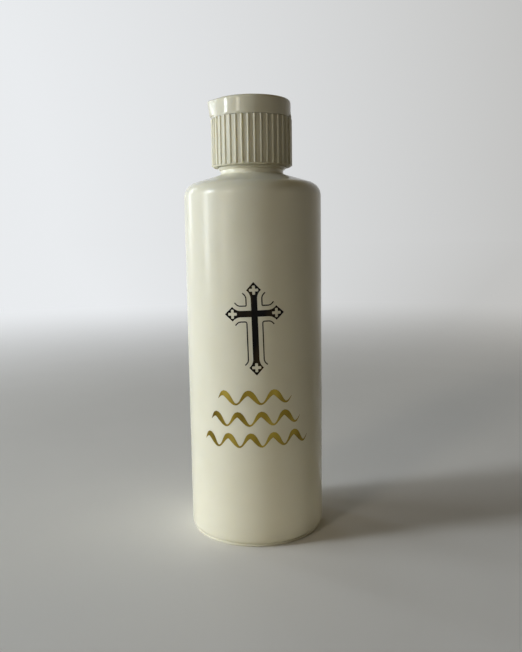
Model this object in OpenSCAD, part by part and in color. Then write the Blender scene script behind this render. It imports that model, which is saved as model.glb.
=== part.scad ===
// Holy water squeeze bottle: a blow-moulded round bottle with a screw-on snap-top closure.
// Millimetres, +Z up. The origin is the centre of the standing ring; the printed front faces -Y.
// The lid's thumb tab points to -X and its living hinge to +X.

/* [Bottle body] */
// Outside diameter of the straight body
body_d = 41; // [36:0.5:52]
// Height at which the straight wall turns into the shoulder
body_h = 101.4; // [70:0.2:140]
// Wall thickness of the blown body
wall = 0.9; // [0.6:0.1:1.3]
// Outside radius of the shoulder's corner
shoulder_r = 4.2; // [2.5:0.1:5]
// Slope of the shoulder's cone, in degrees
shoulder_slope = 17; // [10:1:25]
// Radius of the heel, between the wall and the foot
heel_r = 2.2; // [1.6:0.1:3.2]
// Inset of the foot behind the body wall
foot_inset = 0.7; // [0.4:0.1:1]
// Height of the foot below the crease
foot_h = 0.8; // [0.6:0.1:1.4]
// Radius on the foot's bottom edge
foot_edge_r = 0.35; // [0.2:0.05:0.5]
// Depth of the crease above the foot
crease_depth = 0.25; // [0.1:0.05:0.4]
// Width of the flat standing ring
ring_w = 2.8; // [1.5:0.1:4]
// Rise of the hollow under the base
push_up = 1.8; // [0.8:0.1:3]
// Thickness of the base
base_t = 1.2; // [0.8:0.1:2]

/* [Neck] */
// Outside diameter of the neck under the bead
neck_d = 18.6; // [17.6:0.1:20]
// Radius of the fillet at the neck's foot
neck_fillet = 0.7; // [0.3:0.1:0.9]
// Height of the plain neck, from its foot to the bead
neck_h = 1.2; // [1:0.1:2]
// Height of the bead
bead_h = 1.5; // [1:0.1:2]
// Part of the bead's height that shows under the closure
bead_show = 0.91; // [0.8:0.01:1]
// Outside diameter of the finish at the root of its thread
finish_d = 17.5; // [17:0.1:18.5]
// Reach of the thread beyond the finish
thread_proud = 1.1; // [0.8:0.05:1.3]
// Wall thickness of the finish
finish_wall = 1.65; // [1.2:0.05:2.2]
// Height from the neck's foot to the lip
finish_h = 13.8; // [12:0.1:16]
// Radius on the lip's outer edge
lip_r = 0.35; // [0.2:0.05:0.6]

/* [Seal liner] */
// Thickness of the foam liner
liner_t = 0.8; // [0.5:0.1:1.5]
// Diameter of the liner's hole
liner_hole_d = 9; // [5:0.5:12]

/* [Closure] */
// Wall thickness of the skirt between the ribs
skirt_wall = 1.4; // [1.1:0.05:2]
// Radius on the skirt's outer rim
rim_r = 0.4; // [0.2:0.1:0.8]
// Number of rib places round the skirt
rib_count = 40; // [24:2:48]
// Radius of each rib's round back
rib_r = 0.36; // [0.25:0.01:0.45]
// Height of the ribs over the skirt
rib_proud = 0.34; // [0.2:0.02:0.4]
// Plain margin between the rim and the ribs
rib_margin = 0.3; // [0.2:0.1:1.5]
// Thickness of the deck over the liner
deck_t = 1.3; // [1:0.1:2]
// Height of the raised land inside the lid
land_h = 0.9; // [0.5:0.1:1.4]
// Radius on the land's edge
land_edge_r = 0.3; // [0.2:0.05:0.45]
// Radius of the snap bead round the land
snap_r = 0.14; // [0.08:0.02:0.18]
// Outside diameter of the spout
spout_d = 5.8; // [5:0.1:8]
// Height of the spout over the land
spout_h = 1.6; // [1.5:0.1:2]
// Diameter of the pouring hole
orifice_d = 3.2; // [2.6:0.1:3.6]
// Radius on the spout's lip
spout_lip_r = 0.5; // [0.2:0.1:0.6]

/* [Lid] */
// Setback of the lid's wall behind the ribs
lid_setback = 0.29; // [0.2:0.01:0.4]
// Room between the spout and the lid's ceiling
lid_room = 1.6; // [1:0.1:3]
// Thickness of the lid's side wall
lid_wall = 1.1; // [0.9:0.1:1.4]
// Thickness of the lid's top
lid_top = 1.2; // [0.8:0.1:1.6]
// Rise of the domed top over its edge
dome_h = 0.3; // [0.1:0.05:0.8]
// Radius on the lid's top edge
lid_edge_r = 0.8; // [0.6:0.1:1.5]
// Reach of the thumb tab beyond the lid's wall
tab_reach = 1.15; // [0.8:0.05:2]
// Draw-in of the tab's face from its top to its foot
tab_draft = 0.55; // [0:0.05:0.65]
// Radius of the thumb tab's round tip, seen from above
tab_tip_r = 5; // [2:0.5:8]
// Depth in the lid's wall from which the tab's flanks spring
tab_sink = 0.05; // [0.02:0.01:0.2]
// Clear height under the thumb tab
tab_lift = 0.7; // [0.2:0.1:1.5]
// Drop of the thumb tab's top from the lid's edge
tab_drop = 0.2; // [0.05:0.05:0.4]
// Radius on the thumb tab's top edge
tab_edge_r = 0.5; // [0.2:0.05:0.55]
// Depth of the plug in the pouring hole
plug_depth = 1.4; // [0.8:0.1:1.5]
// Draw-in of the plug's radius over that depth
plug_taper = 0.3; // [0.3:0.05:0.4]

/* [Hinge] */
// Width of the living hinge
hinge_w = 6.8; // [4:0.2:7]
// Thickness of the living hinge's web
web_t = 0.55; // [0.4:0.05:0.6]
// Reach of the web above and below the parting line
web_reach = 1.5; // [1:0.1:2]
// Half angle of the plain panel under the hinge, in degrees
panel_angle = 22; // [18:1:30]

/* [Clearances] */
// Gap between faces that seat on each other
seat_gap = 0.05; // [0.02:0.01:0.1]
// Gap between the bead and the closure's bore
bead_gap = 0.15; // [0.1:0.05:0.3]
// Gap at the parting line under the lid
lid_gap = 0.06; // [0.05:0.01:0.2]
// Gap between the thread and the closure's bore
thread_gap = 0.4; // [0.3:0.05:0.6]
// Gap round pieces that slide into each other
slip_gap = 0.3; // [0.2:0.05:0.4]
// Gap between the plug's root and the pouring hole
plug_gap = 0.15; // [0.1:0.05:0.2]

/* [Hidden] */
// Sides of round shapes, of the ribs, and of arcs with a large radius
$fn = 96;
rib_fn = 24;
large_fn = 720;
// Overlap of shapes that are joined, and overshoot of cuts
eps = 0.01;
over = 1;

// Radii of the bottle, with the closure's bore that its bead fits
body_r = body_d / 2;
inner_r = body_r - wall;
foot_r = body_r - foot_inset;
ring_in_r = foot_r - foot_edge_r - ring_w;
neck_r = neck_d / 2;
finish_r = finish_d / 2;
bore_r = finish_r - finish_wall;
cap_bore_r = finish_r + thread_proud + thread_gap;
bead_r = cap_bore_r - bead_gap;

// Heel arc, tangent to the wall and ending on the foot's crease
heel_x = body_r - heel_r;
heel_z = foot_h + sqrt(pow(heel_r, 2) - pow(heel_r - foot_inset, 2));
// Round bottom corner of the cavity
heel_in_r = heel_r - wall / 2;
// Sphere of the hollow under the base
hollow_r = (pow(ring_in_r, 2) + pow(push_up, 2)) / (2 * push_up);
hollow_z = push_up - hollow_r;

// Shoulder: the corner's centre, and the points where its two arcs meet the cone
shoulder_x = body_r - shoulder_r;
shoulder_in_r = shoulder_r - wall;
normal_angle = 90 - shoulder_slope;
cone_x = shoulder_x + shoulder_r * cos(normal_angle);
cone_z = body_h + shoulder_r * sin(normal_angle);
cone_in_x = shoulder_x + shoulder_in_r * cos(normal_angle);
cone_in_z = body_h + shoulder_in_r * sin(normal_angle);
foot_z = cone_z + (cone_x - neck_r) * tan(shoulder_slope);
bore_foot_z = cone_in_z + (cone_in_x - bore_r) * tan(shoulder_slope);

// Heights up the neck and the closure
bead_z = foot_z + neck_h;
lip_z = foot_z + finish_h;
liner_z = lip_z + seat_gap;
deck_z = liner_z + liner_t + seat_gap;
parting_z = deck_z + deck_t;
rim_z = bead_z + bead_show;
rib_z = rim_z + rib_margin;
land_z = parting_z + land_h;
spout_z = land_z + spout_h;
ceiling_z = spout_z + lid_room;
lid_z = parting_z + lid_gap;
lid_top_z = ceiling_z + lid_top;

// Radii of the closure and the lid
skirt_r = cap_bore_r + skirt_wall;
crest_r = skirt_r + rib_proud;
liner_r = cap_bore_r - slip_gap;
lid_r = crest_r - lid_setback;
lid_in_r = lid_r - lid_wall;
lid_flat_r = lid_r - lid_edge_r;
land_r = lid_in_r - slip_gap;
spout_r = spout_d / 2;
orifice_r = orifice_d / 2;
plug_r = orifice_r - plug_gap;
tab_r = lid_r + tab_reach;
// Sphere of the lid's top
dome_r = (pow(lid_flat_r, 2) + pow(dome_h, 2)) / (2 * dome_h);

// Flat seat of the hinge web on the closure, and the web's radius where it meets the lid
hinge_x = crest_r - web_t;
web_top_r = lid_r + seat_gap;

// Piece that rounds an outer corner of an outline; sx and sy point into the material
module corner_cut(corner, r, sx, sy) {
    translate(corner) difference() {
        translate([sx > 0 ? -eps : -r, sy > 0 ? -eps : -r]) square(r + eps);
        translate([sx * r, sy * r]) circle(r);
    }
}

// Half outline of the shoulder's cone, with the fillet at the neck's foot
module shoulder_outline() {
    fillet_x = neck_r + neck_fillet;
    fillet_z = foot_z + neck_fillet * (1 / cos(shoulder_slope) - tan(shoulder_slope));
    on_cone = [fillet_x - neck_fillet * sin(shoulder_slope),
               fillet_z - neck_fillet * cos(shoulder_slope)];
    difference() {
        polygon([[0, body_h - wall], [shoulder_x, body_h - wall], [shoulder_x, body_h], [cone_x, cone_z],
                 on_cone, [neck_r, fillet_z], [0, fillet_z]]);
        translate([fillet_x, fillet_z]) circle(neck_fillet);
    }
}

// Half outline of the bottle's outside, up to the lip
module bottle_outside() {
    difference() {
        union() {
            square([foot_r, foot_h]);
            translate([heel_x, heel_z]) circle(heel_r);
            translate([0, foot_h - eps]) square([heel_x, heel_z]);
            translate([0, heel_z]) square([body_r, body_h - heel_z]);
            translate([shoulder_x, body_h]) circle(shoulder_r);
            shoulder_outline();
            translate([0, body_h]) square([neck_r, bead_z + bead_h / 2 - body_h]);
            translate([0, bead_z]) square([bead_r - bead_h / 2, bead_h]);
            translate([bead_r - bead_h / 2, bead_z + bead_h / 2]) circle(bead_h / 2);
            translate([0, bead_z]) square([finish_r, lip_z - bead_z]);
        }
        // What a large heel would push below the standing ring
        translate([0, -heel_r]) square([body_d, heel_r]);
        // Crease between the heel and the foot
        polygon([[foot_r - crease_depth, foot_h], [body_r + crease_depth, foot_h + foot_inset],
                 [body_r + crease_depth, foot_h]]);
        corner_cut([foot_r, 0], foot_edge_r, -1, 1);
        corner_cut([finish_r, lip_z], lip_r, -1, -1);
        // Hollow under the base
        translate([0, hollow_z]) circle(hollow_r, $fn = large_fn);
    }
}

// Half outline of the cavity, open at the lip
module bottle_inside() {
    difference() {
        union() {
            translate([-eps, base_t]) square([inner_r + eps, body_h - base_t]);
            translate([shoulder_x, body_h]) circle(shoulder_in_r);
            polygon([[-eps, body_h - eps], [shoulder_x, body_h - eps], [cone_in_x, cone_in_z],
                     [bore_r, bore_foot_z], [-eps, bore_foot_z]]);
            translate([-eps, bore_foot_z - eps]) square([bore_r + eps, lip_z - bore_foot_z + over]);
        }
        corner_cut([inner_r, base_t], heel_in_r, -1, 1);
        translate([0, hollow_z]) circle(hollow_r + base_t, $fn = large_fn);
    }
}

module bottle_body() {
    color("ivory") rotate_extrude() difference() {
        bottle_outside();
        bottle_inside();
    }
}

module seal_liner() {
    color("whitesmoke") translate([0, 0, liner_z]) difference() {
        cylinder(h = liner_t, r = liner_r);
        translate([0, 0, -over]) cylinder(h = liner_t + 2 * over, d = liner_hole_d);
    }
}

// Half outline of the closure without its ribs
module closure_outline() {
    difference() {
        union() {
            translate([0, rim_z]) square([skirt_r, parting_z - rim_z]);
            translate([0, deck_z]) square([land_r, land_z - deck_z]);
            translate([0, deck_z]) square([spout_r, spout_z - deck_z]);
        }
        translate([-eps, rim_z - over]) square([cap_bore_r + eps, deck_z - rim_z + over]);
        translate([-eps, rim_z]) square([orifice_r + eps, spout_z - rim_z + over]);
        corner_cut([skirt_r, rim_z], rim_r, -1, 1);
        corner_cut([land_r, land_z], land_edge_r, -1, -1);
        corner_cut([spout_r, spout_z], spout_lip_r, -1, -1);
    }
    translate([land_r, parting_z + land_h / 2]) circle(snap_r);
}

// Plan of the ribs, which leave the panel under the hinge plain
module rib_plan() {
    pitch = 360 / rib_count;
    for (i = [0 : rib_count - 1]) {
        angle = (i + 0.5) * pitch;
        from_hinge = min(angle, 360 - angle);
        if (from_hinge > panel_angle + pitch / 2)
            rotate(angle) translate([crest_r - rib_r, 0]) circle(rib_r, $fn = rib_fn);
    }
}

// Plan of the plain panel under the hinge, as proud as the ribs
module panel_plan() {
    half_w = crest_r * sin(panel_angle);
    intersection() {
        circle(crest_r);
        translate([cap_bore_r, -half_w]) square([crest_r, 2 * half_w]);
    }
}

module closure_base() {
    color("ivory") difference() {
        union() {
            rotate_extrude() closure_outline();
            translate([0, 0, rib_z]) linear_extrude(parting_z - rib_z) difference() {
                union() {
                    rib_plan();
                    panel_plan();
                }
                circle(skirt_r - skirt_wall / 2);
            }
        }
        // Flat seat of the hinge web
        translate([hinge_x, -body_r, parting_z - web_reach]) cube([body_r, body_d, web_reach + over]);
    }
}

// The web lies on the closure's panel and thins towards the lid's wall
module living_hinge() {
    bottom_z = parting_z - web_reach;
    top_z = lid_z + web_reach;
    color("ivory") intersection() {
        union() {
            translate([0, 0, bottom_z])
                cylinder(h = web_reach, r = crest_r, $fn = large_fn);
            translate([0, 0, parting_z])
                cylinder(h = top_z - parting_z, r1 = crest_r, r2 = web_top_r, $fn = large_fn);
        }
        translate([hinge_x, -hinge_w / 2, bottom_z]) cube([body_r, hinge_w, top_z - bottom_z]);
    }
}

// Half outline of the lid's shell with its plug
module lid_outline() {
    plug_tip_z = spout_z - plug_depth;
    difference() {
        union() {
            translate([0, lid_z]) square([lid_r, lid_top_z - lid_edge_r - lid_z]);
            translate([0, lid_z]) square([lid_flat_r, lid_top_z - lid_z]);
            translate([lid_flat_r, lid_top_z - lid_edge_r]) circle(lid_edge_r);
            intersection() {
                translate([0, lid_top_z + dome_h - dome_r]) circle(dome_r, $fn = large_fn);
                translate([0, ceiling_z]) square([lid_flat_r, lid_top + over]);
            }
        }
        translate([-eps, lid_z - over]) square([lid_in_r + eps, ceiling_z - lid_z + over]);
    }
    polygon([[0, plug_tip_z], [plug_r - plug_taper, plug_tip_z], [plug_r, spout_z], [plug_r, ceiling_z + eps],
             [0, ceiling_z + eps]]);
}

// Plan of the thumb tab: straight flanks that leave the lid's round and close on a round tip
module tab_plan() {
    root_r = lid_r - tab_sink;
    tip_x = tab_r - tab_tip_r;
    flank = acos((root_r - tab_tip_r) / tip_x);
    on_lid = root_r * [-cos(flank), sin(flank)];
    on_tip = [-tip_x, 0] + tab_tip_r * [-cos(flank), sin(flank)];
    translate([-tip_x, 0]) circle(tab_tip_r);
    polygon([[on_lid[0], -on_lid[1]], [on_tip[0], -on_tip[1]], on_tip, on_lid]);
}

// Half outline of the thumb tab: a lip with its face drawn in towards its foot
module tab_outline() {
    foot = lid_z + tab_lift;
    root_r = lid_r - lid_wall / 2;
    edge_z = lid_top_z - tab_drop - tab_edge_r;
    polygon([[root_r, foot], [tab_r - tab_draft, foot], [tab_r, edge_z],
             [tab_r - tab_edge_r, edge_z + tab_edge_r], [lid_flat_r, lid_top_z],
             [lid_flat_r, lid_top_z - lid_edge_r], [root_r, lid_top_z - lid_edge_r]]);
    translate([tab_r - tab_edge_r, edge_z]) circle(tab_edge_r);
}

module thumb_tab() {
    intersection() {
        rotate_extrude() tab_outline();
        translate([0, 0, lid_z]) linear_extrude(lid_top_z - lid_z) tab_plan();
    }
}

module flip_lid() {
    color("ivory") difference() {
        union() {
            rotate_extrude() lid_outline();
            thumb_tab();
        }
        // Flat seat of the hinge web
        translate([hinge_x - seat_gap, -body_r, lid_z - over])
            cube([body_r, body_d, web_reach + seat_gap + over]);
    }
}

bottle_body();
seal_liner();
closure_base();
living_hinge();
flip_lid();
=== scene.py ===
"""Looks of a holy water squeeze bottle with a screw-on snap-top closure.

The bottle, its closure, lid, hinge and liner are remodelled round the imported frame, with their threads,
mould seams, ribs and stamped foil. Lengths are in metres; MM turns the named sizes from millimetres.
"""

import math

import bpy
from mathutils import Matrix, Vector


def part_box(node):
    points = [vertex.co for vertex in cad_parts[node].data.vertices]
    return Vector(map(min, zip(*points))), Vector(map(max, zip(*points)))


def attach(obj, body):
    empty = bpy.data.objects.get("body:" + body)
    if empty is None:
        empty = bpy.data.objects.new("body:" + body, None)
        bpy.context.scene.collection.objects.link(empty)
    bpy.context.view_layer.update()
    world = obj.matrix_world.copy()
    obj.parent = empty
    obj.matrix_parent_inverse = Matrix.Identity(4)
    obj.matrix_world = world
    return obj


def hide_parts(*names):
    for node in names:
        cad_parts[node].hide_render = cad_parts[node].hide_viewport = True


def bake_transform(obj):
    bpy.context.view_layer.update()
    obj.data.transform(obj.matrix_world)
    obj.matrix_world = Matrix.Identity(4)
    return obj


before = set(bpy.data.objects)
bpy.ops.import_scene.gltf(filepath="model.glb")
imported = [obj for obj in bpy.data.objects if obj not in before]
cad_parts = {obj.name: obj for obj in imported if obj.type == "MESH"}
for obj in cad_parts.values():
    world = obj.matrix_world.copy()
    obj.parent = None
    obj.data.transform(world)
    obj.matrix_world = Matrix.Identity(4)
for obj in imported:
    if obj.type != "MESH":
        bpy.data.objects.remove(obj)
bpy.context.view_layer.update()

MM = 0.001
FULL_TURN = 2 * math.pi
TOUCH = MM / 1000
NEAR = MM / 100

# Places taken from the frame; the wall stays inside its solid by the room that seam and foil need
skin_room = 0.05 * MM
body_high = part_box("bottle_body")[1]
liner_low, liner_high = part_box("seal_liner")
closure_low, closure_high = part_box("closure_base")
hinge_low, hinge_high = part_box("living_hinge")
lid_low, lid_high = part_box("flip_lid")
body_r = body_high.x - skin_room
lip_z = body_high.z
rim_z = closure_low.z
spout_z = closure_high.z
crest_r = closure_high.x
lid_r = lid_high.y
lid_z = lid_low.z
dome_z = lid_high.z
tab_r = -lid_low.x
hinge_x = hinge_low.x

# Sizes of the blown bottle
wall = 0.9 * MM
body_h = 101.4 * MM
shoulder_r = 4.2 * MM
shoulder_slope = math.radians(17)
heel_r = 2.2 * MM
heel_start = math.radians(-34)
foot_inset = 0.7 * MM
foot_h = 0.8 * MM
foot_edge_r = 0.35 * MM
crease_depth = 0.25 * MM
crease_edge = 0.12 * MM
ring_w = 2.8 * MM
push_up = 1.8 * MM
base_t = 1.2 * MM
seam_half_w = 0.14 * MM
seam_proud = 0.045 * MM
pinch_proud = 0.16 * MM

# Sizes of the neck and its screw thread
neck_r = 9.3 * MM
neck_fillet = 0.7 * MM
neck_h = 1.2 * MM
bead_h = 1.5 * MM
bead_gap = 0.15 * MM
finish_r = 8.75 * MM
bore_r = 7.1 * MM
lip_edge_r = 0.35 * MM
thread_lead = 3.175 * MM
thread_turns = 1.5
thread_proud = 1.1 * MM
thread_root_w = 1.6 * MM
thread_crest_w = 0.7 * MM
thread_start_z = 114.3 * MM
thread_sink = 0.1 * MM
thread_sections = 90
thread_run_out = 7
thread_end_share = 0.05

# Sizes of the closure
bore_wall_r = 10.25 * MM
skirt_r = 11.65 * MM
rim_edge_r = 0.4 * MM
deck_t = 1.3 * MM
deck_gap = 0.05 * MM
deck_z = liner_high.z + deck_gap
parting_z = deck_z + deck_t
parting_edge_r = 0.06 * MM
land_r = 10.3 * MM
land_h = 0.9 * MM
land_z = parting_z + land_h
land_edge_r = 0.3 * MM
snap_bead = 0.14 * MM
snap_rise = 0.45 * MM
spout_r = 2.9 * MM
spout_lip_r = 0.5 * MM
orifice_r = 1.6 * MM
corner_r = 0.18 * MM
rib_count = 40
rib_r = 0.36 * MM
rib_margin = 0.3 * MM
rib_end_r = 0.3 * MM
rib_end_steps = 5
rib_end_angle = math.radians(60)
rib_sides = 24
panel_angle = math.radians(22)
panel_edge_r = 0.18 * MM

# Sizes of the lid and its hinge
lid_wall = 1.1 * MM
lid_top = 1.2 * MM
dome_h = 0.3 * MM
lid_edge_r = 1.0 * MM
lid_inside_r = 0.5 * MM
tab_draft = 0.55 * MM
tab_tip_r = 5.0 * MM
tab_edge_share = 0.3
tab_lift = 0.7 * MM
tab_foot_t = 0.02 * MM
plug_r = 1.45 * MM
plug_taper = 0.3 * MM
plug_depth = 1.4 * MM
seat_gap = 0.05 * MM
cut_margin = 1.0 * MM
web_groove = 0.12 * MM
bend_half = 0.45 * MM
bend_rows = 6
bend_z = (parting_z + lid_z) / 2

# Sizes of the liner
liner_hole_r = 4.5 * MM
liner_edge_r = 0.15 * MM

# Steps of round shapes, and the angles in degrees up to which faces are smoothed together
BODY_STEPS = 192
CLOSURE_STEPS = 160
ARC_STEPS = 40
ROUND_ANGLE = 40
JOINED_ANGLE = 35
FOIL_ANGLE = 30


def deselect_all():
    """Leave edit mode and select nothing."""
    if bpy.context.object and bpy.context.object.mode != "OBJECT":
        bpy.ops.object.mode_set(mode="OBJECT")
    bpy.ops.object.select_all(action="DESELECT")


def activate(piece):
    """Make one piece the only selected one."""
    deselect_all()
    piece.select_set(True)
    bpy.context.view_layer.objects.active = piece


def name_new(name):
    """Name the object that an operator has just added."""
    piece = bpy.context.object
    piece.name = name
    piece.data.name = name
    return piece


def select_points(piece, chosen):
    """Go to edit mode with the vertices selected whose places pass a test."""
    activate(piece)
    bpy.ops.object.mode_set(mode="EDIT")
    bpy.ops.mesh.select_mode(type="VERT")
    bpy.ops.mesh.select_all(action="DESELECT")
    bpy.ops.object.mode_set(mode="OBJECT")
    for vertex in piece.data.vertices:
        vertex.select = chosen(vertex.co)
    bpy.ops.object.mode_set(mode="EDIT")


def arc(centre_r, centre_z, radius, start, end, count):
    """Points of an arc in an outline, from one angle to another in degrees."""
    angles = [math.radians(start + (end - start) * i / count) for i in range(count + 1)]
    return [(centre_r + radius * math.cos(a), centre_z + radius * math.sin(a)) for a in angles]


def draw(name, places):
    """A chain of edges drawn by extruding one point from place to place; it ends in edit mode."""
    deselect_all()
    bpy.ops.mesh.primitive_plane_add(size=MM, location=(0, 0, 0))
    piece = name_new(name)
    bpy.ops.object.mode_set(mode="EDIT")
    bpy.ops.mesh.select_mode(type="VERT")
    bpy.ops.mesh.select_all(action="SELECT")
    bpy.ops.mesh.merge(type="CENTER")
    bpy.ops.transform.translate(value=places[0])
    for before, after in zip(places, places[1:]):
        bpy.ops.mesh.extrude_vertices_move(TRANSFORM_OT_translate={"value": after - before})
    bpy.ops.mesh.select_all(action="SELECT")
    bpy.ops.mesh.remove_doubles(threshold=TOUCH)
    return piece


def upright(outline, angle):
    """Places of an outline of (radius, height) points, stood up at an angle round the bottle's axis."""
    return [Vector((r * math.cos(angle), r * math.sin(angle), z)) for r, z in outline]


def smooth(angle):
    """Smooth the active piece's faces together up to an angle in degrees."""
    bpy.ops.object.shade_smooth_by_angle(angle=math.radians(angle))


def close_up():
    """Merge, close, turn outwards and smooth the mesh that is in edit mode."""
    bpy.ops.mesh.select_all(action="SELECT")
    bpy.ops.mesh.remove_doubles(threshold=TOUCH)
    bpy.ops.mesh.fill_holes(sides=0)
    bpy.ops.mesh.select_all(action="SELECT")
    bpy.ops.mesh.normals_make_consistent(inside=False)
    bpy.ops.object.mode_set(mode="OBJECT")
    smooth(ROUND_ANGLE)


def turn(name, outline, steps, closed=False, middle=0.0, sweep=FULL_TURN):
    """Spin an outline about the bottle's axis, all round or over a sweep with its middle at an angle."""
    points = outline + outline[:1] if closed else outline
    piece = draw(name, upright(points, middle + sweep / 2))
    bpy.ops.mesh.spin(steps=steps, angle=sweep, center=(0, 0, 0), axis=(0, 0, 1))
    close_up()
    return piece


def combine(piece, other, operation):
    """Join another solid to a piece, or cut it away."""
    modifier = piece.modifiers.new("combine", "BOOLEAN")
    modifier.operation = operation
    modifier.solver = "EXACT"
    modifier.object = other
    activate(piece)
    bpy.ops.object.modifier_apply(modifier=modifier.name)
    bpy.data.objects.remove(other)
    smooth(JOINED_ANGLE)


def block(low, high):
    """A plain block to cut a flat with."""
    deselect_all()
    size = Vector(high) - Vector(low)
    bpy.ops.mesh.primitive_cube_add(size=1, location=(Vector(high) + Vector(low)) / 2, scale=size)
    bpy.ops.object.transform_apply(location=True, rotation=True, scale=True)
    return bpy.context.object


# Bottle

foot_r = body_r - foot_inset
ring_in_r = foot_r - foot_edge_r - ring_w
hollow_r = (ring_in_r**2 + push_up**2) / (2 * push_up)
hollow_z = push_up - hollow_r
shoulder_x = body_r - shoulder_r
shoulder_end = 90 - math.degrees(shoulder_slope)
cone_x = shoulder_x + shoulder_r * math.sin(shoulder_slope)
cone_z = body_h + shoulder_r * math.cos(shoulder_slope)
neck_z = cone_z + (cone_x - neck_r) * math.tan(shoulder_slope)


def side_outline():
    """The outside from the heel to the foot of the neck."""
    heel_z = foot_h + math.sqrt(heel_r**2 - (heel_r - foot_inset) ** 2)
    fillet_z = neck_z + neck_fillet * (1 / math.cos(shoulder_slope) - math.tan(shoulder_slope))
    outline = arc(body_r - heel_r, heel_z, heel_r, math.degrees(heel_start), 0, 8)
    outline += arc(shoulder_x, body_h, shoulder_r, 0, shoulder_end, 14)
    outline += arc(neck_r + neck_fillet, fillet_z, neck_fillet, 180 + shoulder_end, 180, 6)
    return outline


def foot_outline():
    """The underside from its middle: the hollow, the flat standing ring and the crease above the foot."""
    hollow_end = 90 - math.degrees(math.asin(ring_in_r / hollow_r))
    outline = arc(0, hollow_z, hollow_r, 90, hollow_end, 9)
    outline += arc(foot_r - foot_edge_r, foot_edge_r, foot_edge_r, -90, 0, 5)
    outline += arc(foot_r - crease_edge, foot_h - crease_edge, crease_edge, 0, 90, 3)
    outline += [(foot_r - crease_depth, foot_h), (foot_r - crease_depth, foot_h + crease_edge / 2)]
    return outline


def finish_outline():
    """The bead, the plain finish that carries the thread, and the lip."""
    bead_z = neck_z + neck_h
    half_bead = bead_h / 2
    bead_r = bore_wall_r - bead_gap
    outline = [(neck_r, bead_z)]
    outline += arc(bead_r - half_bead, bead_z + half_bead, half_bead, -90, 90, 12)
    outline += [(finish_r, bead_z + bead_h)]
    outline += arc(finish_r - lip_edge_r, lip_z - lip_edge_r, lip_edge_r, 0, 90, 5)
    outline += arc(bore_r + lip_edge_r, lip_z - lip_edge_r, lip_edge_r, 90, 180, 5)
    return outline


def inside_outline():
    """The inside from the foot of the bore down to the middle of the floor."""
    inner_r = shoulder_r - wall
    bore_foot_x = shoulder_x + inner_r * math.sin(shoulder_slope)
    bore_foot_z = body_h + inner_r * math.cos(shoulder_slope)
    heel_in_r = heel_r - wall / 2
    floor_r = hollow_r + base_t
    floor_end = math.degrees(math.asin((base_t - hollow_z) / floor_r))
    outline = [(bore_r, bore_foot_z + (bore_foot_x - bore_r) * math.tan(shoulder_slope))]
    outline += arc(shoulder_x, body_h, inner_r, shoulder_end, 0, 6)
    outline += arc(body_r - wall - heel_in_r, base_t + heel_in_r, heel_in_r, 0, -90, 5)
    outline += arc(0, hollow_z, floor_r, floor_end, 90, 5)
    return outline


def outside_at(outline, height):
    """The radius of the bottle's side outline at a height between heel and neck."""
    for (low_r, low), (high_r, high) in zip(outline, outline[1:]):
        if low <= height <= high:
            return low_r + (high_r - low_r) * (height - low) / (high - low)
    return body_r


def add_mould_seams(piece):
    """Raise the parting line up both sides, and the pinch-off line across the hollow base.

    Two cuts on either side hold its slope, so that the wall beside it stays true.
    """
    on_seam = seam_half_w / 2
    outline = side_outline()
    for step in (-2, -1, 1, 2):
        activate(piece)
        bpy.ops.object.mode_set(mode="EDIT")
        bpy.ops.mesh.select_all(action="SELECT")
        bpy.ops.mesh.bisect(plane_co=(0, step * seam_half_w, 0), plane_no=(0, 1, 0), threshold=TOUCH)

    def on_side(co):
        level = foot_h + crease_edge < co.z < neck_z
        if not level or abs(co.y) > on_seam:
            return False
        return co.xy.length > outside_at(outline, co.z) - wall / 2

    def on_base(co):
        underside = hollow_z + math.sqrt(hollow_r**2 - min(abs(co.x), ring_in_r) ** 2)
        return abs(co.y) < on_seam and abs(co.x) < ring_in_r - ring_w / 2 and co.z < underside + base_t / 2

    select_points(piece, on_side)
    bpy.ops.transform.shrink_fatten(value=seam_proud)
    select_points(piece, on_base)
    bpy.ops.transform.shrink_fatten(value=pinch_proud)
    bpy.ops.object.mode_set(mode="OBJECT")


def make_bottle():
    """The blown bottle: one wall all round, open at the lip."""
    outline = foot_outline() + side_outline() + finish_outline() + inside_outline()
    piece = turn("bottle_shell", outline, BODY_STEPS)
    add_mould_seams(piece)
    return piece


def make_thread(name, root_r, top_r, start_z):
    """One helical thread ridge from its root to its top radius, running out at both ends."""
    sink = thread_sink if top_r > root_r else -thread_sink
    foot = root_r - sink
    section = [
        (foot, start_z - thread_root_w / 2),
        (top_r, start_z - thread_crest_w / 2),
        (top_r, start_z + thread_crest_w / 2),
        (foot, start_z + thread_root_w / 2),
    ]
    piece = draw(name, upright(section + section[:1], 0.0))
    bpy.ops.object.mode_set(mode="OBJECT")
    helix = piece.modifiers.new("helix", "SCREW")
    helix.axis = "Z"
    helix.angle = thread_turns * FULL_TURN
    helix.screw_offset = thread_turns * thread_lead
    helix.steps = thread_sections
    helix.render_steps = thread_sections
    helix.use_merge_vertices = False
    bpy.ops.object.modifier_apply(modifier=helix.name)
    for step in range(thread_run_out):
        grown = math.sin(math.pi / 2 * step / thread_run_out)
        shrink = thread_end_share + (1 - thread_end_share) * grown
        for number in (step, thread_sections - step):
            share = number / thread_sections
            angle = share * thread_turns * FULL_TURN
            height = start_z + share * thread_turns * thread_lead
            select_points(piece, lambda co: in_section(co, angle, height))
            root = (foot * math.cos(angle), foot * math.sin(angle), height)
            bpy.ops.transform.resize(value=(shrink, shrink, shrink), center_override=root)
    close_up()
    return piece


def in_section(co, angle, height):
    """Whether a vertex lies in the thread's section at an angle and height."""
    off_plane = co.x * math.sin(angle) - co.y * math.cos(angle)
    along = co.x * math.cos(angle) + co.y * math.sin(angle)
    return along > 0 and abs(off_plane) < NEAR and abs(co.z - height) < thread_root_w / 2 + NEAR


# Closure


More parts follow.
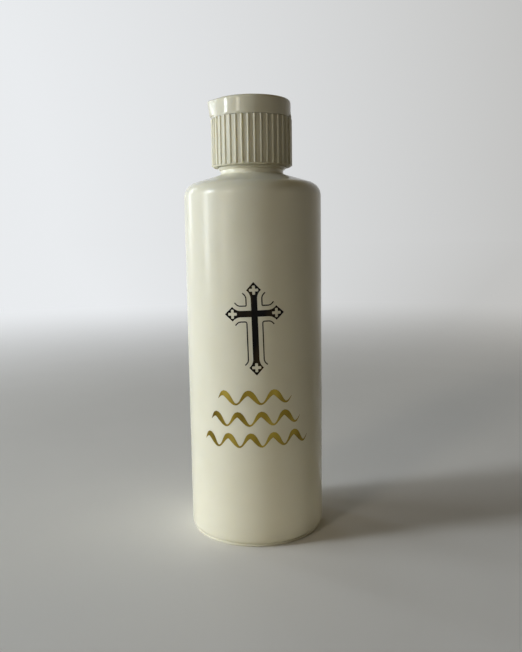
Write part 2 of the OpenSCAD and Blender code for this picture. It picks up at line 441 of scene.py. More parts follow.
def closure_outline():
    """Skirt, deck, land and spout, round the closed outline from the pouring hole."""
    outline = [(orifice_r, deck_z), (bore_wall_r, deck_z)]
    outline += arc(bore_wall_r + corner_r, rim_z + corner_r, corner_r, 180, 270, 3)
    outline += arc(skirt_r - rim_edge_r, rim_z + rim_edge_r, rim_edge_r, -90, 0, 6)
    outline += arc(skirt_r - parting_edge_r, parting_z - parting_edge_r, parting_edge_r, 0, 90, 2)
    outline += arc(land_r + corner_r, parting_z + corner_r, corner_r, 270, 180, 3)
    outline += arc(land_r, parting_z + snap_rise, snap_bead, -90, 90, 4)
    outline += arc(land_r - land_edge_r, land_z - land_edge_r, land_edge_r, 0, 90, 4)
    outline += arc(spout_r + corner_r, land_z + corner_r, corner_r, 270, 180, 4)
    outline += arc(spout_r - spout_lip_r, spout_z - spout_lip_r, spout_lip_r, 0, 90, 5)
    outline += arc(orifice_r + corner_r, spout_z - corner_r, corner_r, 90, 180, 4)
    return outline


def make_ribs():
    """The grip ribs of the skirt: one rounded rib, copied round all but the panel under the hinge."""
    low = rim_z + rib_margin
    deselect_all()
    bpy.ops.mesh.primitive_cylinder_add(vertices=rib_sides, radius=rib_r, depth=parting_z - low)
    rib = name_new("skirt_ribs")
    select_points(rib, lambda co: True)
    bpy.ops.mesh.select_mode(type="EDGE")
    bpy.ops.mesh.select_all(action="DESELECT")
    bpy.ops.mesh.edges_select_sharp(sharpness=rib_end_angle)
    bpy.ops.mesh.bevel(offset=rib_end_r, segments=rib_end_steps, affect="EDGES", clamp_overlap=True)
    bpy.ops.mesh.select_all(action="SELECT")
    bpy.ops.transform.translate(value=(crest_r - rib_r, 0, (parting_z + low) / 2))
    bpy.ops.object.mode_set(mode="OBJECT")
    pitch = FULL_TURN / rib_count
    copies = []
    for i in range(rib_count):
        angle = (i + 0.5) * pitch
        if min(angle, FULL_TURN - angle) < panel_angle + pitch / 2:
            continue
        copy = rib.copy()
        copy.data = rib.data.copy()
        copy.data.transform(Matrix.Rotation(angle, 4, "Z"))
        bpy.context.collection.objects.link(copy)
        copies.append(copy)
    bpy.data.objects.remove(rib)
    deselect_all()
    for copy in copies:
        copy.select_set(True)
    bpy.context.view_layer.objects.active = copies[0]
    bpy.ops.object.join()
    return bpy.context.object


def make_panel():
    """The plain panel under the hinge, as proud as the ribs."""
    low = rim_z + rib_margin
    root = skirt_r - rib_r
    outline = [(root, low)]
    outline += arc(crest_r - panel_edge_r, low + panel_edge_r, panel_edge_r, -90, 0, 3)
    outline += [(crest_r, parting_z), (root, parting_z)]
    return turn("hinge_panel", outline, ARC_STEPS, closed=True, sweep=2 * panel_angle)


def make_closure():
    """The screw skirt with its ribs and panel, and the seat of the hinge cut into its top edge."""
    piece = turn("closure_shell", closure_outline(), CLOSURE_STEPS, closed=True)
    combine(piece, make_ribs(), "UNION")
    combine(piece, make_panel(), "UNION")
    low = (hinge_x, hinge_low.y - seat_gap, hinge_low.z)
    high = (body_r, hinge_high.y + seat_gap, spout_z)
    combine(piece, block(low, high), "DIFFERENCE")
    return piece


# Lid and hinge

top_z = dome_z - dome_h
tab_foot = lid_z + tab_lift
tab_tip_x = tab_r - tab_tip_r
tab_flank = math.acos((lid_r - tab_tip_r) / tab_tip_x)


def lid_outline():
    """Domed shell and plug, from the middle of the top round to the plug's tip."""
    flat_r = lid_r - lid_edge_r
    dome_r = (flat_r**2 + dome_h**2) / (2 * dome_h)
    dome_end = 90 - math.degrees(math.asin(flat_r / dome_r))
    inner_r = lid_r - lid_wall
    ceiling_z = top_z - lid_top
    tip_z = spout_z - plug_depth
    outline = arc(0, dome_z - dome_r, dome_r, 90, dome_end, 6)
    outline += arc(flat_r, top_z - lid_edge_r, lid_edge_r, 90, 0, 8)[1:]
    outline += [(lid_r, tab_foot + rise) for rise in (corner_r, tab_foot_t, 0.0)]
    outline += arc(lid_r - parting_edge_r, lid_z + parting_edge_r, parting_edge_r, 0, -90, 2)
    outline += arc(inner_r + corner_r, lid_z + corner_r, corner_r, 270, 180, 3)
    outline += arc(inner_r - lid_inside_r, ceiling_z - lid_inside_r, lid_inside_r, 0, 90, 4)
    outline += arc(plug_r + corner_r, ceiling_z - corner_r, corner_r, 90, 180, 3)
    outline += [(plug_r, spout_z)]
    outline += arc(plug_r - plug_taper - corner_r, tip_z + corner_r, corner_r, 0, -90, 3)
    outline += [(0, tip_z)]
    return outline


def tab_reach(angle):
    """How far the thumb tab stands off the lid's round, at an angle from its tip."""
    if abs(angle) >= tab_flank:
        return 0.0
    across = tab_tip_x * math.sin(angle)
    on_tip = tab_tip_x * math.cos(angle) + math.sqrt(max(0.0, tab_tip_r**2 - across**2))
    on_flank = lid_r / math.cos(abs(angle) - tab_flank)
    tip_end = math.atan2(tab_tip_r * math.sin(tab_flank), tab_tip_x + tab_tip_r * math.cos(tab_flank))
    return (on_tip if abs(angle) < tip_end else on_flank) - lid_r


def pull_tab(piece):
    """Pull the thumb tab out of the lid's wall, column by column.

    Its face is drawn in towards its foot, and its top edge is tighter than the lid's.
    """
    full = tab_r - lid_r
    foot_rows = (
        (tab_foot + tab_foot_t, full - tab_draft - corner_r),
        (tab_foot + corner_r, full - tab_draft),
    )
    step = FULL_TURN / CLOSURE_STEPS
    columns = int(tab_flank / step)
    for column in range(-columns, columns + 1):
        angle = column * step
        outwards = Vector((-math.cos(angle), math.sin(angle), 0))
        reach = tab_reach(angle)

        def in_column(co):
            off_plane = co.x * outwards.y - co.y * outwards.x
            return co.x < 0 and abs(off_plane) < NEAR and co.xy.length > lid_r - lid_edge_r - NEAR

        for height, share in foot_rows:
            select_points(piece, lambda co: in_column(co) and abs(co.z - height) < NEAR)
            bpy.ops.transform.translate(value=outwards * reach * share / full)
        select_points(piece, lambda co: in_column(co) and co.z > tab_foot + corner_r + NEAR)
        bpy.ops.transform.translate(value=outwards * reach)
        tight = 1 - (1 - tab_edge_share) * reach / full
        edge = outwards * (lid_r + reach) + Vector((0, 0, top_z))
        select_points(piece, lambda co: in_column(co) and co.z > top_z - lid_edge_r - NEAR)
        bpy.ops.transform.resize(value=(tight, tight, tight), center_override=edge)
    bpy.ops.object.mode_set(mode="OBJECT")
    smooth(ROUND_ANGLE)


def make_lid():
    """The lid with its thumb tab and plug, and the seat of the hinge cut into its foot."""
    piece = turn("lid_shell", lid_outline(), CLOSURE_STEPS)
    pull_tab(piece)
    low = (hinge_x - seat_gap, hinge_low.y - seat_gap, lid_z - cut_margin)
    high = (body_r, hinge_high.y + seat_gap, hinge_high.z + seat_gap)
    combine(piece, block(low, high), "DIFFERENCE")
    return piece


def make_hinge():
    """The living hinge: a strip on the skirt's round that leans in to the lid, grooved where it bends."""
    root = hinge_x - cut_margin
    top_r = lid_r - seat_gap
    outline = [(root, hinge_low.z), (crest_r, hinge_low.z)]
    for i in range(bend_rows + 1):
        height = bend_z + bend_half * (2 * i / bend_rows - 1)
        lean = max(0.0, (height - parting_z) / (hinge_high.z - parting_z))
        groove = web_groove * (1 - ((height - bend_z) / bend_half) ** 2)
        outline.append((crest_r - lean * (crest_r - top_r) - groove, height))
    outline += [(top_r, hinge_high.z), (root, hinge_high.z)]
    outline += [(root, bend_z + bend_half * (1 - 2 * i / bend_rows)) for i in range(bend_rows + 1)]
    half = math.asin(hinge_high.y / crest_r)
    piece = turn("hinge_web", outline, ARC_STEPS, closed=True, sweep=2 * half)
    bpy.ops.object.mode_set(mode="EDIT")
    bpy.ops.mesh.select_all(action="SELECT")
    bpy.ops.mesh.bisect(plane_co=(hinge_x, 0, 0), plane_no=(1, 0, 0), clear_inner=True, threshold=TOUCH)
    close_up()
    return piece


def make_liner():
    """The foam ring between the lip and the deck, with softened edges."""
    low, high, outer, edge = liner_low.z, liner_high.z, liner_high.x, liner_edge_r
    outline = arc(liner_hole_r + edge, low + edge, edge, 180, 270, 3)
    outline += arc(outer - edge, low + edge, edge, -90, 0, 3)
    outline += arc(outer - edge, high - edge, edge, 0, 90, 3)
    outline += arc(liner_hole_r + edge, high - edge, edge, 90, 180, 3)
    return turn("foam_liner", outline, CLOSURE_STEPS, closed=True)


# Stamped foil: how far it stands off the wall, its thickness, and the spacing of its bends round the wall
foil_proud = 0.02 * MM
foil_t = 0.03 * MM
foil_bend = 0.5 * MM

# Cross: sizes on the flat, before it goes round the wall
cross_z = 68.4 * MM
cross_tilt = math.radians(1.4)
bar_half = 0.89 * MM
arm_up = 8.8 * MM
arm_down = 17.45 * MM
arm_side = 8.48 * MM
tip_half = 2.05 * MM
tip_len = 2.25 * MM
flare_len = 2.4 * MM
cutout_reach = 1.28 * MM
cutout_half = 0.4 * MM
cutout_soft = 0.16 * MM
line_w = 0.33 * MM
line_gap = 1.32 * MM
line_tail = 0.55 * MM
line_turn = 0.92
line_corner_up = 0.25 * MM
line_corner_down = 0.5 * MM
flare_r = ((tip_half - bar_half) ** 2 + flare_len**2) / (2 * (tip_half - bar_half))
flare_angle = math.degrees(math.asin(flare_len / flare_r))

# Ripples: the lowest row, how the rows above it narrow, and the strokes with their tapered ends
ripple_z = 31.9 * MM
ripple_pitch = 6.2 * MM
ripple_half_w = 16.4 * MM
ripple_step = 2.7 * MM
ripple_crests = 5
ripple_rows = 3
ripple_height = 1.6 * MM
ripple_thick = 1.7 * MM
ripple_thin = 0.5 * MM
ripple_points = 16
ripple_end = 0.25
ripple_tip_share = 0.12
ripple_slant = math.pi / 3


def arm_outline(length):
    """An arm's outline, from the bar's right side over the flare and the tip to its left side."""
    start = length - tip_len - flare_len
    right = arc(bar_half + flare_r, start, flare_r, 180, 180 - flare_angle, 8)
    left = [(-a, b) for a, b in reversed(right)]
    return right + [(0, length)] + left


def turned(points, angle):
    """Flat points turned about the origin."""
    c, s = math.cos(angle), math.sin(angle)
    return [(a * c - b * s, a * s + b * c) for a, b in points]


def cross_outline():
    """The whole cross, arm by arm, anticlockwise from the top one."""
    points = []
    for quarter, length in enumerate((arm_up, arm_side, arm_down, arm_side)):
        angle = quarter * math.pi / 2
        points += turned([(bar_half, bar_half)], angle)
        points += turned(arm_outline(length), angle)
    return points


def cutout_outline(centre):
    """A small equal-armed cross with softened corners."""
    r, h, soft = cutout_reach, cutout_half, cutout_soft
    arm = [(h, h), (h, r - soft), (h - soft, r), (soft - h, r), (-h, r - soft)]
    points = []
    for quarter in range(4):
        points += turned(arm, quarter * math.pi / 2)
    return [(a + centre[0], b + centre[1]) for a, b in points]


def line_path(length, bend_r):
    """The line in a corner between an upright arm and a side arm, its ends flaring out along both."""
    out = bar_half + line_gap
    inner_r = flare_r - line_gap
    turn_angle = flare_angle * line_turn
    lean = math.radians(turn_angle)
    start = length - tip_len - flare_len
    start_side = arm_side - tip_len - flare_len
    up = arc(out + inner_r, start, inner_r, 180, 180 - turn_angle, 6)
    side = [(b, a) for a, b in arc(out + inner_r, start_side, inner_r, 180, 180 - turn_angle, 6)]
    up_tail = (up[-1][0] + line_tail * math.sin(lean), up[-1][1] + line_tail * math.cos(lean))
    side_tail = (side[-1][0] + line_tail * math.cos(lean), side[-1][1] + line_tail * math.sin(lean))
    corner = arc(out + bend_r, out + bend_r, bend_r, 180, 270, 4)
    return [up_tail] + up[::-1] + corner + side + [side_tail]


def ribbon(path, widths):
    """A closed outline round a path, with a width at each of its points."""
    left, right = [], []
    for i, (x, y) in enumerate(path):
        before = path[max(0, i - 1)]
        after = path[min(len(path) - 1, i + 1)]
        along = Vector((after[0] - before[0], after[1] - before[1])).normalized()
        half = widths[i] / 2
        left.append((x - along.y * half, y + along.x * half))
        right.append((x + along.y * half, y - along.x * half))
    return left + right[::-1]


def flat_shapes(name, outlines):
    """A flat filled mesh from closed outlines, where an outline inside another is a hole."""
    curve = bpy.data.curves.new(name, "CURVE")
    curve.dimensions = "2D"
    curve.fill_mode = "BOTH"
    for outline in outlines:
        spline = curve.splines.new("POLY")
        spline.points.add(len(outline) - 1)
        for point, (x, y) in zip(spline.points, outline):
            point.co = (x, y, 0, 1)
        spline.use_cyclic_u = True
    piece = bpy.data.objects.new(name, curve)
    bpy.context.collection.objects.link(piece)
    activate(piece)
    bpy.ops.object.convert(target="MESH")
    return name_new(name)


def lay_on_wall(piece, centre_z):
    """Stand a flat foil shape up, bend it round the bottle's wall and give it its thickness."""
    activate(piece)
    width = piece.dimensions.x
    left = min(corner[0] for corner in piece.bound_box)
    bpy.ops.object.mode_set(mode="EDIT")
    bpy.ops.mesh.select_all(action="SELECT")
    bpy.ops.mesh.remove_doubles(threshold=TOUCH)
    for i in range(1, int(width / foil_bend) + 1):
        bpy.ops.mesh.select_all(action="SELECT")
        bpy.ops.mesh.bisect(plane_co=(left + i * foil_bend, 0, 0), plane_no=(1, 0, 0), threshold=TOUCH)
    bpy.ops.mesh.select_all(action="SELECT")
    bpy.ops.transform.rotate(value=-math.pi / 2, orient_axis="X", center_override=(0, 0, 0))
    bpy.ops.object.mode_set(mode="OBJECT")
    wrap = piece.modifiers.new("wrap", "SIMPLE_DEFORM")
    wrap.deform_method = "BEND"
    wrap.deform_axis = "Z"
    wrap.angle = width / body_r
    bpy.ops.object.modifier_apply(modifier=wrap.name)
    bpy.ops.object.mode_set(mode="EDIT")
    bpy.ops.mesh.select_all(action="SELECT")
    bpy.ops.transform.translate(value=(0, -body_r - foil_proud, centre_z))
    bpy.ops.mesh.normals_make_consistent(inside=False)
    bpy.ops.object.mode_set(mode="OBJECT")
    first = piece.data.polygons[0]
    if first.normal.dot(Vector((first.center.x, first.center.y, 0))) < 0:
        bpy.ops.object.mode_set(mode="EDIT")
        bpy.ops.mesh.flip_normals()
        bpy.ops.object.mode_set(mode="OBJECT")
    film = piece.modifiers.new("film", "SOLIDIFY")
    film.thickness = foil_t
    film.offset = -1
    bpy.ops.object.modifier_apply(modifier=film.name)
    smooth(FOIL_ANGLE)
    return piece


def make_cross():
    """A cross with pointed, pierced ends and a fine line in each corner."""
    outlines = [cross_outline()]
    for quarter, length in enumerate((arm_up, arm_side, arm_down, arm_side)):
        centre = turned([(0, length - tip_len)], quarter * math.pi / 2)[0]
        outlines.append(cutout_outline(centre))
    for length, way, bend_r in ((arm_up, 1, line_corner_up), (arm_down, -1, line_corner_down)):
        for side in (-1, 1):
            path = [(side * x, way * y) for x, y in line_path(length, bend_r)]
            outlines.append(ribbon(path, [line_w] * len(path)))
    tilted = [turned(outline, cross_tilt) for outline in outlines]
    return lay_on_wall(flat_shapes("cross_foil", tilted), cross_z)


def make_ripples():
    """Rows of water ripples, drawn with thick and thin strokes, narrowing upwards."""
    outlines = []
    for row in range(ripple_rows):
        crests = ripple_crests - row
        half_w = ripple_half_w - row * ripple_step
        count = crests * ripple_points
        path, widths = [], []
        for i in range(count + 1):
            share = i / count
            phase = share * crests * FULL_TURN
            path.append(((2 * share - 1) * half_w, row * ripple_pitch + ripple_height * math.sin(phase)))
            taper = min(1.0, crests * min(share, 1 - share) / ripple_end + ripple_tip_share)
            swell = 0.5 - 0.5 * math.cos(phase + ripple_slant)
            widths.append((ripple_thin + (ripple_thick - ripple_thin) * swell) * taper)
        outlines.append(turned(ribbon(path, widths), cross_tilt))
    return lay_on_wall(flat_shapes("ripple_foil", outlines), ripple_z)


# Materials

# Noise: how rough it is, and the span that most of its values fall in
noise_roughness = 0.55
noise_low = 0.3
noise_high = 0.7

# Plastic: its tones, the scales of its drifts, gloss patches, waves and grain, and how far light sinks in
drift_scale = 55
patch_scale = 70
wave_scale = 45
wave_depth = 0.4 * MM
grain_scale = 1500
grain_depth = 0.03 * MM
plastic_ior = 1.5
sink_depth = 1.5 * MM
sink_tint = (1.0, 0.9, 0.7)
bottle_tones = ((0.80, 0.78, 0.65), (0.84, 0.82, 0.70))
closure_tones = ((0.70, 0.68, 0.56), (0.74, 0.72, 0.605))

# Ranges of roughness, each on one side of 0.27, because a range that crosses it renders with blotches
bottle_gloss = (0.18, 0.26)
lid_gloss = (0.13, 0.19)
skirt_gloss = (0.42, 0.50)
black_gloss = (0.10, 0.22)
gold_gloss = (0.29, 0.42)

# Foil: its tones, its streaks, drawn out along the bottle, and its wear; the black foil's brown streaks are
# a painted sheen
black_tones_with_painted_sheen = [(0.46, (0.003, 0.003, 0.004)), (0.70, (0.045, 0.030, 0.010))]
gold_tones = [(0.3, (0.19, 0.13, 0.02)), (0.55, (0.42, 0.31, 0.05)), (0.8, (0.66, 0.52, 0.12))]
streak_and_sheen_scale = 150
streak_and_sheen_stretch = (1.0, 1.0, 0.35)
wear_scale = 900
wear_bump = 0.08
wear_depth = 0.02 * MM

# Foam: its pores, painted darker in their pits as shade
pore_tones_with_painted_shade = [(0.0, (0.62, 0.62, 0.6)), (0.5, (0.85, 0.85, 0.82))]
pore_scale = 3200
pore_bump = 0.4
pore_depth = 0.1 * MM
foam_roughness = 0.85


def new_material(name):
    """A material with its nodes, shader and object coordinates."""
    material = bpy.data.materials.new(name)
    material.use_nodes = True
    nodes = material.node_tree.nodes
    shader = nodes["Principled BSDF"]
    place = nodes.new("ShaderNodeTexCoord").outputs["Object"]
    return material, nodes, material.node_tree.links, shader, place


def noise(nodes, links, place, scale, detail):
    """A noise texture's value over object coordinates."""
    node = nodes.new("ShaderNodeTexNoise")
    node.inputs["Scale"].default_value = scale
    node.inputs["Detail"].default_value = detail
    node.inputs["Roughness"].default_value = noise_roughness
    links.new(place, node.inputs["Vector"])
    return node.outputs["Fac"]


def ramp(nodes, links, value, stops):
    """Colours laid over a value, from (position, colour) stops."""
    node = nodes.new("ShaderNodeValToRGB")
    elements = node.color_ramp.elements
    while len(elements) < len(stops):
        elements.new(1.0)
    for element, (position, colour) in zip(elements, stops):
        element.position = position
        element.color = (*colour, 1)
    links.new(value, node.inputs["Fac"])
    return node.outputs["Color"]


def spread(nodes, links, value, low, high, from_low=noise_low, from_high=noise_high):
    """A value stretched from one span to another, easing at both ends."""
    node = nodes.new("ShaderNodeMapRange")
    node.interpolation_type = "SMOOTHSTEP"
    node.inputs["From Min"].default_value = from_low
    node.inputs["From Max"].default_value = from_high
    node.inputs["To Min"].default_value = low
    node.inputs["To Max"].default_value = high
    links.new(value, node.inputs["Value"])
    return node.outputs["Result"]


def bump(nodes, links, height, strength, distance, under=None):
    """A bump from a height, laid over another bump where there is one."""
    node = nodes.new("ShaderNodeBump")
    node.inputs["Strength"].default_value = strength
    node.inputs["Distance"].default_value = distance
    links.new(height, node.inputs["Height"])
    if under is not None:
        links.new(under, node.inputs["Normal"])
    return node.outputs["Normal"]


def plastic(name, tones, gloss, grain, waviness, see_into):
    """Moulded plastic: drifting tone, uneven gloss, a fine mould grain and slow waves in the wall."""
    material, nodes, links, shader, place = new_material(name)
    drift = noise(nodes, links, place, drift_scale, detail=3)
    stops = [(noise_low, tones[0]), (noise_high, tones[1])]
    links.new(ramp(nodes, links, drift, stops), shader.inputs["Base Color"])
    patches = noise(nodes, links, place, patch_scale, detail=1)
    links.new(spread(nodes, links, patches, *gloss), shader.inputs["Roughness"])
    waves = noise(nodes, links, place, wave_scale, detail=1)
    fine = noise(nodes, links, place, grain_scale, detail=3)
    slow_waves = bump(nodes, links, waves, waviness, wave_depth)
    links.new(bump(nodes, links, fine, grain, grain_depth, slow_waves), shader.inputs["Normal"])
    shader.inputs["IOR"].default_value = plastic_ior
    shader.inputs["Subsurface Weight"].default_value = see_into
    shader.inputs["Subsurface Radius"].default_value = sink_tint
    shader.inputs["Subsurface Scale"].default_value = sink_depth
    return material


def foil(name, stops, gloss, metallic, specular):
    """Hot-stamped foil: a metal film with streaks of lighter and darker tone and an uneven shine; in the
    black foil the lighter brown streaks are a painted sheen.
    """
    material, nodes, links, shader, place = new_material(name)
    stretch = nodes.new("ShaderNodeMapping")
    stretch.inputs["Scale"].default_value = streak_and_sheen_stretch
    links.new(place, stretch.inputs["Vector"])
    streaks = noise(nodes, links, stretch.outputs["Vector"], streak_and_sheen_scale, detail=2)
    links.new(ramp(nodes, links, streaks, stops), shader.inputs["Base Color"])
    wear = noise(nodes, links, place, wear_scale, detail=4)
    links.new(spread(nodes, links, wear, *gloss), shader.inputs["Roughness"])
    links.new(bump(nodes, links, wear, wear_bump, wear_depth), shader.inputs["Normal"])
    shader.inputs["Metallic"].default_value = metallic
    shader.inputs["Specular IOR Level"].default_value = specular
    return material


def foam(name):
    """White closed-cell foam with fine pores, whose pits are painted darker as shade."""
    material, nodes, links, shader, place = new_material(name)
    pores = nodes.new("ShaderNodeTexVoronoi")
    pores.inputs["Scale"].default_value = pore_scale
    links.new(place, pores.inputs["Vector"])
    cells = pores.outputs["Distance"]
    # The pores' pits, the low places of their bump, are painted darker: painted shade.
    links.new(ramp(nodes, links, cells, pore_tones_with_painted_shade), shader.inputs["Base Color"])
    links.new(bump(nodes, links, cells, pore_bump, pore_depth), shader.inputs["Normal"])
    shader.inputs["Roughness"].default_value = foam_roughness
    return material


def dress(piece, material):
    """Give a piece its material."""
    piece.data.materials.clear()
    piece.data.materials.append(material)


# Stage: a pale table that fades into a pale backdrop, under a dim ceiling

backdrop_tones = [(0.08, (0.82, 0.84, 0.86)), (0.34, (0.54, 0.54, 0.53)), (0.75, (0.52, 0.49, 0.43))]
dim_side = (0.75, -0.66, 0)
ceiling_tone = (0.34, 0.24, 0.06)
ceiling_start = 0.34
ceiling_end = 0.9
table_half = 8.0
table_colour = (0.95, 0.93, 0.91)
table_dip = 0.97
table_mottle = 12
table_roughness = 0.8
table_shine = 0.2
fade_start = 0.16
fade_end = 0.75

# The table's soft light, painted into its tone and glow for rays of soft light: warm, strongest in front
# and to the left, with a painted shadow where the bottle stands, where it does not glow
bounce_near = (0.98, 0.90, 0.73)
bounce_far = (0.12, 0.10, 0.06)
bounce_middle = (-0.05, -0.06, 0)
bounce_reach = 0.20
bounce_glow = 0.34
bounce_start = 0.0205
bounce_full = 0.030

NUMBERS = "ShaderNodeMath"
VECTORS = "ShaderNodeVectorMath"


def give(links, socket, value):
    """Link a socket to another one, or set a plain value on it."""
    if isinstance(value, bpy.types.NodeSocket):
        links.new(value, socket)
    else:
        socket.default_value = value


def reckon(nodes, links, kind, operation, *values):
    """The outputs of a maths node that works on sockets and plain values."""
    node = nodes.new(kind)
    node.operation = operation
    for socket, value in zip(node.inputs, values):
        give(links, socket, value)
    return node.outputs


def mix_shaders(nodes, links, share, first, second):
    """Two shaders mixed by a share of the second."""
    both = nodes.new("ShaderNodeMixShader")
    links.new(share, both.inputs["Fac"])
    links.new(first, both.inputs[1])
    links.new(second, both.inputs[2])
    return both.outputs["Shader"]


def mix_colours(nodes, links, share, first, second):
    """Two colours mixed by a share of the second."""
    both = nodes.new("ShaderNodeMix")
    both.data_type = "RGBA"
    for name, value in (("Factor", share), ("A", first), ("B", second)):
        give(links, both.inputs[name], value)
    return both.outputs["Result"]


def seen_directly(nodes, links):
    """1 for rays from the camera, off gloss and through clear things, and 0 for rays of soft light."""
    path = nodes.new("ShaderNodeLightPath").outputs
    seen = path["Is Camera Ray"]
    for kind in ("Is Glossy Ray", "Is Transmission Ray"):
        seen = reckon(nodes, links, NUMBERS, "MAXIMUM", seen, path[kind])["Value"]
    return seen


def backdrop_tone(nodes, links, direction):
    """The backdrop's colour in a direction: palest behind and to the left, warmer the other way."""
    facing = reckon(nodes, links, VECTORS, "DOT_PRODUCT", direction, dim_side)["Value"]
    share = reckon(nodes, links, NUMBERS, "MULTIPLY_ADD", facing, 0.5, 0.5)["Value"]
    return ramp(nodes, links, share, backdrop_tones)


def table_material():
    """Plain pale paint with the faintest unevenness, which fades into the backdrop away from the bottle.
    For rays of soft light it takes a warm tone and glows: painted bounce light, with a painted shadow round
    the bottle's foot.
    """
    material, nodes, links, shader, place = new_material("pale_table")
    seen = seen_directly(nodes, links)
    mottle = noise(nodes, links, place, table_mottle, detail=2)
    darker = tuple(table_dip * c for c in table_colour)
    pale = ramp(nodes, links, mottle, [(noise_low, darker), (noise_high, table_colour)])
    # For rays of soft light the table's tone is warm near the bottle and dark far off: painted bounce
    # light.
    off_middle = reckon(nodes, links, VECTORS, "DISTANCE", place, bounce_middle)["Value"]
    dim = spread(nodes, links, off_middle, 0.0, 1.0, 0.0, bounce_reach)
    soft = ramp(nodes, links, dim, [(0.0, bounce_near), (1.0, bounce_far)])
    links.new(mix_colours(nodes, links, seen, soft, pale), shader.inputs["Base Color"])
    # For rays of soft light the table glows, but not under the bottle's foot: painted bounce light and a
    # painted contact shadow.
    reach = reckon(nodes, links, VECTORS, "LENGTH", place)["Value"]
    glow = spread(nodes, links, reach, 0.0, bounce_glow, bounce_start, bounce_full)
    unseen = reckon(nodes, links, NUMBERS, "SUBTRACT", 1.0, seen)["Value"]
    lift = reckon(nodes, links, NUMBERS, "MULTIPLY", unseen, glow)["Value"]
    links.new(soft, shader.inputs["Emission Color"])
    links.new(lift, shader.inputs["Emission Strength"])
    shader.inputs["Roughness"].default_value = table_roughness
    shader.inputs["Specular IOR Level"].default_value = table_shine
    far = spread(nodes, links, reach, 0.0, 1.0, fade_start, fade_end)
    fade = reckon(nodes, links, NUMBERS, "MULTIPLY", far, seen)["Value"]
    direction = reckon(nodes, links, VECTORS, "NORMALIZE", place)["Vector"]
    surround = nodes.new("ShaderNodeEmission")
    links.new(backdrop_tone(nodes, links, direction), surround.inputs["Color"])
    surface = mix_shaders(nodes, links, fade, shader.outputs["BSDF"], surround.outputs["Emission"])
    links.new(surface, nodes["Material Output"].inputs["Surface"])
    return material


def make_stage():
    """The table that the bottle stands on."""
    deselect_all()
    bpy.ops.mesh.primitive_plane_add(size=2 * table_half, location=(0, 0, 0))
    piece = name_new("pale_table")
    piece.data.materials.append(table_material())


# Camera and light

PHOTO_H = 652
SENSOR = 36.0
focal_px = 677.4
camera_place = Vector((0, -206.9 * MM, 89.2 * MM))
camera_pitch = math.radians(7.41)
camera_yaw = math.radians(0.54)
camera_roll = math.radians(-0.88)
lamp_distance = 1.5
lamp_aim = Vector((0, 0, 0.08))
room_colour = (1.0, 0.88, 0.66, 1)
room_strength = 0.02
cool = (0.90, 0.965, 1.0)
mild = (1.0, 0.92, 0.76)
warm = (1.0, 0.86, 0.58)

# Windows: name, azimuth, width, foot, top, power, colour, and whether gloss mirrors it
windows = (
    ("window_front", 38, 0.22, 0.34, 0.86, 2.75, mild, True),
    ("window_left", 78, 0.24, 0.34, 0.86, 6.8, cool, True),
    ("sill_front", 48, 0.22, 0.02, 0.34, 0.6, mild, True),
    ("sill_left", 82, 0.22, 0.02, 0.34, 1.5, cool, True),
    ("window_wide", 88, 0.95, 0.06, 0.75, 11.6, cool, False),
    ("window_right", -135, 0.70, 0.10, 1.00, 1.5, warm, False),
    ("window_back", 127, 0.18, 0.06, 0.86, 2.2, cool, True),
    ("window_low", 160, 0.50, 0.02, 0.35, 4.7, cool, False),
)


def make_camera():
    """The photograph's viewpoint, fitted to the bottle's outline."""
    data = bpy.data.cameras.new("camera")
    data.sensor_width = SENSOR
    data.lens = focal_px * SENSOR / PHOTO_H
    data.clip_start = MM
    data.clip_end = 4 * table_half
    camera = bpy.data.objects.new("camera", data)
    bpy.context.collection.objects.link(camera)
    level = math.cos(camera_pitch)
    ahead = Vector((math.sin(camera_yaw) * level, math.cos(camera_yaw) * level, -math.sin(camera_pitch)))
    right = Vector((math.cos(camera_yaw), -math.sin(camera_yaw), 0))
    up = right.cross(ahead)
    right_rolled = right * math.cos(camera_roll) + up * math.sin(camera_roll)
    up_rolled = up * math.cos(camera_roll) - right * math.sin(camera_roll)
    facing = Matrix((right_rolled, up_rolled, -ahead)).transposed()
    camera.matrix_world = Matrix.Translation(camera_place) @ facing.to_4x4()
    bpy.context.scene.camera = camera


def add_window(name, azimuth, width, foot, top, power, colour, mirrored):
    """A soft light turned to the bottle; azimuth is in degrees from the camera's side round to the left."""
    data = bpy.data.lights.new(name, "AREA")
    data.shape = "RECTANGLE"
    data.size = width
    data.size_y = top - foot
    data.energy = power
    data.color = colour
    light = bpy.data.objects.new(name, data)
    bpy.context.collection.objects.link(light)
    angle = math.radians(azimuth)
    light.location = (-lamp_distance * math.sin(angle), -lamp_distance * math.cos(angle), (foot + top) / 2)
    light.rotation_euler = (lamp_aim - light.location).to_track_quat("-Z", "Y").to_euler()
    light.visible_camera = False
    light.visible_glossy = mirrored


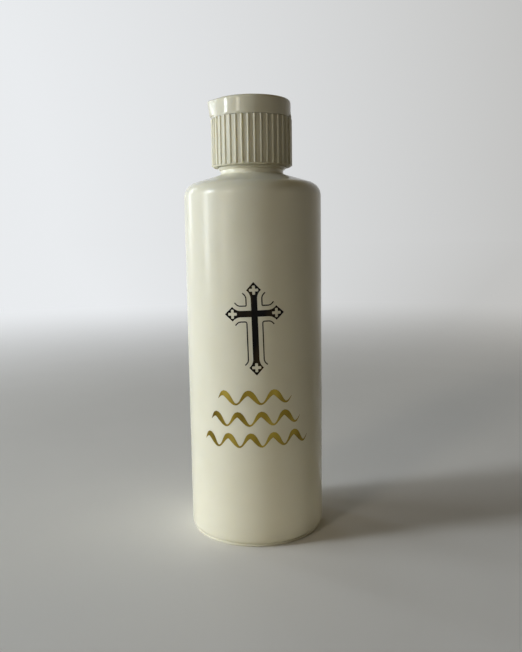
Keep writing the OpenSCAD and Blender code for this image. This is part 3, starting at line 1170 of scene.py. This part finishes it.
def make_room():
    """A dim warm room for soft light, and the pale backdrop and dim ceiling where it is seen directly."""
    world = bpy.data.worlds.new("room")
    world.use_nodes = True
    nodes, links = world.node_tree.nodes, world.node_tree.links
    room = nodes["Background"]
    room.inputs["Color"].default_value = room_colour
    room.inputs["Strength"].default_value = room_strength
    direction = nodes.new("ShaderNodeTexCoord").outputs["Generated"]
    height = nodes.new("ShaderNodeSeparateXYZ")
    links.new(direction, height.inputs["Vector"])
    overhead = spread(nodes, links, height.outputs["Z"], 0.0, 1.0, ceiling_start, ceiling_end)
    level_tone = backdrop_tone(nodes, links, direction)
    tone = mix_colours(nodes, links, overhead, level_tone, (*ceiling_tone, 1))
    backdrop = nodes.new("ShaderNodeBackground")
    links.new(tone, backdrop.inputs["Color"])
    seen = seen_directly(nodes, links)
    surface = mix_shaders(nodes, links, seen, room.outputs["Background"], backdrop.outputs["Background"])
    links.new(surface, nodes["World Output"].inputs["Surface"])
    bpy.context.scene.world = world


# Make, dress and hang the pieces; the hinge is dressed but not hung

ivory = plastic("bottle_plastic", bottle_tones, bottle_gloss, grain=0.03, waviness=0.15, see_into=0.3)
gloss_ivory = plastic("lid_plastic", closure_tones, lid_gloss, grain=0.02, waviness=0.05, see_into=0.5)
satin_ivory = plastic("skirt_plastic", closure_tones, skirt_gloss, grain=0.02, waviness=0.05, see_into=0.5)
white_foam = foam("liner_foam")
# The black foil's brown streaks are a painted sheen, not its colour.
black_foil = foil("black_foil", black_tones_with_painted_sheen, black_gloss, metallic=0.0, specular=0.12)
gold_foil = foil("gold_foil", gold_tones, gold_gloss, metallic=1.0, specular=0.5)

neck_thread = make_thread("neck_thread", finish_r, finish_r + thread_proud, thread_start_z)
cap_thread_z = thread_start_z + thread_lead / 2
cap_thread = make_thread("closure_thread", bore_wall_r, bore_wall_r - thread_proud, cap_thread_z)
pieces = (
    (make_bottle(), ivory, "bottle_plastic", "bottle", "bottle_body"),
    (neck_thread, ivory, "bottle_plastic", "bottle", None),
    (make_cross(), black_foil, "black_foil", "bottle", None),
    (make_ripples(), gold_foil, "gold_foil", "bottle", None),
    (make_liner(), white_foam, "liner_foam", "liner", "seal_liner"),
    (make_closure(), satin_ivory, "closure_plastic", "closure", "closure_base"),
    (cap_thread, satin_ivory, "closure_plastic", "closure", None),
    (make_lid(), gloss_ivory, "closure_plastic", "lid", "flip_lid"),
)
for piece, material, slot, body, node in pieces:
    dress(piece, material)
    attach(piece, body)
    if node:
        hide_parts(node)

hinge = make_hinge()
dress(hinge, satin_ivory)
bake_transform(hinge)
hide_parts("living_hinge")

make_stage()
make_camera()
for window in windows:
    add_window(*window)
make_room()
bpy.context.scene.view_settings.view_transform = "Standard"
